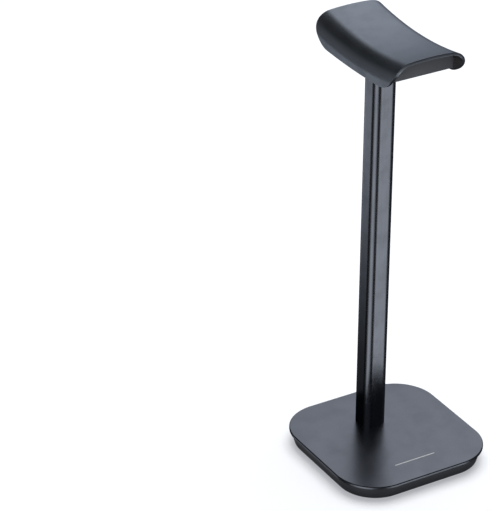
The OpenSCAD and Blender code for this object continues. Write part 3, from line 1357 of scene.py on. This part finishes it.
@dataclass
class Studio:
    """Floor, surroundings, light and camera.

    Each card tuple is where its darkness starts, where it ends and how dark it is: near and far
    from the pole, and round the base's outline. Only the stage is set here, no piece of the stand.
    """

    haze_high: float = 0.02
    haze_low: float = 0.07
    fill: float = 0.30
    patches: Sequence[LightPatch] = (
        LightPatch(131, 30, 12, 38, 1.50),
        LightPatch(-61, -32, 6, 32, 1.38),
        LightPatch(27, -32, 5, 22, 1.52),
        LightPatch(-160, -31, 4, 19, 2.10),
        LightPatch(120, -30, 10, 40, 0.15),
        LightPatch(-138, -4, 6, 29, 0.24),
        LightPatch(0, 90, 10, 26, 0.80),
        LightPatch(-45, 32, 12, 42, 0.45),
        LightPatch(0, 8, 4, 18, 0.30),
        LightPatch(175, 0, 8, 30, 0.30),
        LightPatch(85, 25, 12, 36, 0.40),
        LightPatch(40, 44, 6, 24, 0.20),
        LightPatch(-90, 30, 8, 28, 0.25),
    )
    haze_span: Point2 = (-0.25, 0.1)
    light_colour: Colour = (0.975, 0.985, 1.0)
    card_radius: float = 1.0
    card_depth: float = 0.1 * MM
    card_azimuth: float = -147.0
    card_core: float = 20.0
    card_edge: float = 44.0
    card_near: Point3 = (0.07, 0.50, 0.92)
    card_far: Point3 = (0.52, 0.60, 0.6)
    card_ring: Point3 = (-2 * MM, 13 * MM, 0.86)
    card_opening: Point2 = (-4 * MM, -2 * MM)
    pole_y: float = 18 * MM
    base_half: float = 50 * MM
    base_corner: float = 26.5 * MM
    floor_radius: float = 6.0
    floor_colour: Colour = (0.93, 0.945, 0.97)
    floor_speckle: Colour = (0.95, 0.96, 0.97)
    floor_glow: Colour = (0.90, 0.92, 0.98)
    glow_share: float = 0.38
    lamp_angle: float = 55.0
    lamp_energy: float = 3.2
    lamp_aim: Point3 = (-0.25, -0.3, -1.0)
    eye: Point3 = (-0.76447, -1.13458, 0.88871)
    azimuth: float = -30.196
    elevation: float = 28.971
    roll: float = 0.198
    lens: float = 187.31
    shift: Point2 = (0.01296, 0.00282)

    def build(self) -> None:
        """Sets up the studio."""
        self.camera()
        self.floor()
        self.dark_card()
        self.surroundings()
        self.lamps()
        bpy.context.scene.view_settings.view_transform = "Standard"

    def camera(self) -> None:
        """Places the camera and makes it the scene's own."""
        data = bpy.data.cameras.new("studio_camera")
        data.lens = self.lens
        data.sensor_width = 36.0
        data.shift_x, data.shift_y = self.shift
        data.clip_start, data.clip_end = 0.05, 20.0
        camera = bpy.data.objects.new("studio_camera", data)
        bpy.context.scene.collection.objects.link(camera)
        aim = (-direction(self.azimuth, self.elevation)).to_track_quat("-Z", "Y")
        camera.rotation_mode = "QUATERNION"
        camera.rotation_quaternion = aim @ Quaternion((0, 0, 1), math.radians(self.roll))
        camera.location = self.eye
        bpy.context.scene.camera = camera

    def floor(self) -> None:
        """A wide pale floor that only the camera sees."""
        shape = bmesh.new()
        bmesh.ops.create_circle(shape, cap_ends=True, segments=64, radius=self.floor_radius)
        sheet = FinishSheet("studio_floor")
        speckle = sheet.noise(60 * MM, 3.0)
        diffuse = sheet.out(
            "ShaderNodeBsdfDiffuse",
            sockets={"Color": sheet.blend(speckle, self.floor_colour, self.floor_speckle)},
        )
        glow = sheet.out("ShaderNodeEmission", sockets={"Color": (*self.floor_glow, 1.0)})
        pale = sheet.mixed(self.glow_share, diffuse, glow)
        below = sheet.node("ShaderNodeNewGeometry").outputs["Backfacing"]
        sheet.show(sheet.mixed(below, pale, sheet.out("ShaderNodeBsdfTransparent")))
        sheet.material.cycles.emission_sampling = "NONE"
        floor = add_piece("floor", shape, sheet.material)
        floor.visible_glossy = False
        floor.visible_diffuse = False

    def dark_card(self) -> None:
        """A soft dark card just under the floor that paints in the floor's shade, dark round the
        base and behind the pole.

        Reflections and bounced light see it, the camera does not, and it is open under the base.
        """
        shape = bmesh.new()
        bmesh.ops.create_circle(shape, cap_ends=True, segments=48, radius=self.card_radius)
        bmesh.ops.translate(shape, verts=shape.verts, vec=(0.0, self.pole_y, -self.card_depth))
        sheet = FinishSheet("dark_card")
        x, y, _ = sheet.parts(sheet.place)
        straight = self.base_half - self.base_corner
        out_x = (x.size() - straight).at_least(0.0)
        out_y = (y.size() - straight).at_least(0.0)
        outside = (out_x.squared() + out_y.squared()).root() - self.base_corner
        start, end, level = self.card_ring
        # Painted contact shade of the floor, round the base's outline.
        ring = outside.ramp(start, end, level, 0.0)
        y = y - self.pole_y
        away = (x.squared() + y.squared()).root().at_least(0.001)
        a = math.radians(self.card_azimuth)
        facing = (x * math.sin(a) - y * math.cos(a)) / away
        edge, core = (math.cos(math.radians(t)) for t in (self.card_edge, self.card_core))
        cover = facing.ramp(edge, core)
        start, end, level = self.card_near
        near = away.ramp(start, end, level, 0.0)
        start, end, level = self.card_far
        band = near.at_least(away.ramp(start, end, 0.0, level))
        cover = (cover * band).at_least(ring)
        cover = cover * outside.ramp(*self.card_opening)
        black = sheet.out("ShaderNodeEmission", sockets={"Color": (0.0, 0.0, 0.0, 1.0)})
        sheet.show(sheet.mixed(cover, sheet.out("ShaderNodeBsdfTransparent"), black))
        card = add_piece("dark_card", shape, sheet.material)
        card.visible_camera = False

    def surroundings(self) -> None:
        """White to the camera, and nearly dark with soft patches of light to reflections."""
        world = bpy.data.worlds.new("studio")
        world.use_nodes = True
        bpy.context.scene.world = world
        sheet = NodeSheet(world.node_tree)
        x, y, z = sheet.parts(sheet.node("ShaderNodeTexCoord").outputs["Generated"])
        glow = z.ramp(*self.haze_span, self.haze_low, self.haze_high)
        for patch in self.patches:
            aim = direction(patch.azimuth, patch.elevation)
            facing = x * aim.x + y * aim.y + z * aim.z
            edge, core = (math.cos(math.radians(angle)) for angle in (patch.edge, patch.core))
            glow = facing.ramp(edge, core) * patch.level + glow
        rays = sheet.node("ShaderNodeLightPath").outputs
        seen = Signal(sheet, rays["Is Camera Ray"])
        mirrored = Signal(sheet, rays["Is Glossy Ray"])
        strength = seen + mirrored * glow + (1.0 - seen - mirrored) * self.fill
        light = sheet.out(
            "ShaderNodeBackground",
            sockets={"Color": (*self.light_colour, 1.0), "Strength": strength},
        )
        sheet.node("ShaderNodeOutputWorld", sockets={"Surface": light})

    def lamps(self) -> None:
        """One very soft lamp above, a little behind and to the right."""
        data = bpy.data.lights.new("soft_lamp", "SUN")
        data.angle = math.radians(self.lamp_angle)
        data.energy = self.lamp_energy
        lamp = bpy.data.objects.new("soft_lamp", data)
        lamp.rotation_mode = "QUATERNION"
        lamp.rotation_quaternion = Vector(self.lamp_aim).to_track_quat("-Z", "Y")
        lamp.visible_glossy = False
        bpy.context.scene.collection.objects.link(lamp)


def screw_sets(finishes: FinishShelf) -> Iterator[ScrewSet]:
    """Yields the three groups of screws.

    Args:
        finishes: The finishes to dress them in.

    Yields:
        Each group, placed from its CAD node's box.
    """
    foot_head, pan_height, post_head = 4.0 * MM, 2.3 * MM, 2.3 * MM
    low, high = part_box("pole_base_screws")
    ports = [(c.x + s * foot_head, c.y + s * foot_head) for c, s in ((low, 1), (high, -1))]
    yield ScrewSet(
        name="pole_foot_screws",
        node="pole_base_screws",
        style=HeadStyle.FLAT,
        places=ports,
        bearing_z=low.z,
        tip_z=high.z,
        head_radius=foot_head,
        head_height=2.2 * MM,
        thread_radius=1.78 * MM,
        pitch=0.7 * MM,
        finishes=finishes,
    )
    low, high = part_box("saddle_screws")
    yield ScrewSet(
        name="saddle_top_screws",
        node="saddle_screws",
        style=HeadStyle.PAN,
        places=ports,
        bearing_z=high.z - pan_height,
        tip_z=low.z,
        head_radius=3.9 * MM,
        head_height=pan_height,
        thread_radius=1.78 * MM,
        pitch=0.7 * MM,
        finishes=finishes,
    )
    low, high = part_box("cover_screws")
    reach = high.x - post_head
    yield ScrewSet(
        name="cover_fixing_screws",
        node="cover_screws",
        style=HeadStyle.FLAT,
        places=[(sx * reach, sy * reach) for sx in (-1, 1) for sy in (-1, 1)],
        bearing_z=low.z,
        tip_z=high.z,
        head_radius=post_head,
        head_height=1.2 * MM,
        thread_radius=1.03 * MM,
        pitch=0.8 * MM,
        finishes=finishes,
    )


def main() -> None:
    """Builds the stand and its studio."""
    logging.basicConfig(level=logging.INFO, format="%(name)s: %(message)s", force=True)
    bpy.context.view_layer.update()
    finishes = FinishShelf()
    assemblies = [
        Base(finishes),
        Pole(finishes),
        SaddleCore(finishes),
        SaddleSkin(finishes),
        *screw_sets(finishes),
    ]
    for assembly in assemblies:
        for piece in assembly.build():
            LOG.info("%s: %s, %d faces", type(assembly).__name__, piece.name,
                     len(piece.data.polygons))
    Studio().build()


if __name__ == "__main__":
    main()
